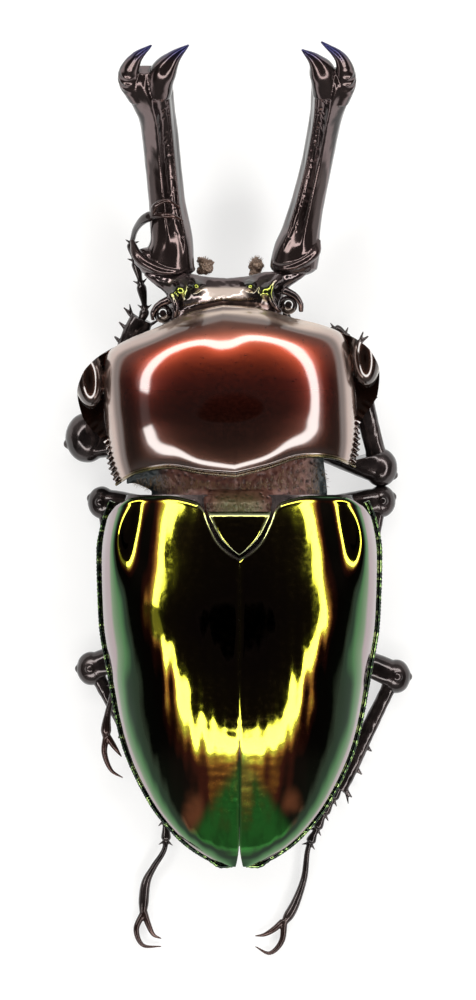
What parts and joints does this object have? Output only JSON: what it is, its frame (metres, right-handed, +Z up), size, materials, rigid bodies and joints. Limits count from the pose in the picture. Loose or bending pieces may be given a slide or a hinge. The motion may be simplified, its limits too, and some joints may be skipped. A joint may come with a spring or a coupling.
{
  "type": "rainbow stag beetle",
  "caption": "Dried male rainbow stag beetle, life size, lying on its drawn-in legs with its long forked mandibles curving up in front.",
  "frame": {"origin": "centre of the footprint of the whole beetle, on the floor that its drawn-in legs rest on", "axes": "+Y toward the tail, so the mandibles point along -Y; +Z up from the floor; +X toward the beetle's left"},
  "size_m": [0.0259, 0.0687, 0.0142],
  "materials": {
    "wing_case": "iridescent green to copper metallic cuticle, mirror gloss",
    "pronotum": "iridescent copper-red metallic cuticle, mirror gloss",
    "head": "dark bronze metallic cuticle, satin with fine punctures",
    "mandible": "black-brown horn, glossy, grained toward the root",
    "leg": "black-brown cuticle, glossy",
    "eye": "black faceted eye, glossy",
    "waist": "red-brown punctured cuticle under short golden hair",
    "brush": "dusty brown hairy mouth brush"
  },
  "bodies": {
    "root": {"abdomen": "leg", "antenna_L": "leg", "antenna_R": "leg", "coxa_fore_L": "leg", "coxa_fore_R": "leg", "coxa_hind_L": "leg", "coxa_hind_R": "leg", "coxa_mid_L": "leg", "coxa_mid_R": "leg", "elytron_L": "wing_case", "elytron_R": "wing_case", "eye_L": "eye", "eye_R": "eye", "femur_fore_L": "leg", "femur_fore_R": "leg", "femur_hind_L": "leg", "femur_hind_R": "leg", "femur_mid_L": "leg", "femur_mid_R": "leg", "galea_L": "brush", "galea_R": "brush", "head": "head", "labial_palp_L": "leg", "labial_palp_R": "leg", "labrum": "leg", "mandible_L": "mandible", "mandible_R": "mandible", "maxillary_palp_L": "leg", "maxillary_palp_R": "leg", "mentum": "leg", "mesothorax": "waist", "metasternum": "leg", "pronotum": "pronotum", "prosternum": "leg", "scutellum": "wing_case", "tarsus_fore_L": "leg", "tarsus_fore_R": "leg", "tarsus_hind_L": "leg", "tarsus_hind_R": "leg", "tarsus_mid_L": "leg", "tarsus_mid_R": "leg", "tibia_fore_L": "leg", "tibia_fore_R": "leg", "tibia_hind_L": "leg", "tibia_hind_R": "leg", "tibia_mid_L": "leg", "tibia_mid_R": "leg"}
  },
  "joints": []
}
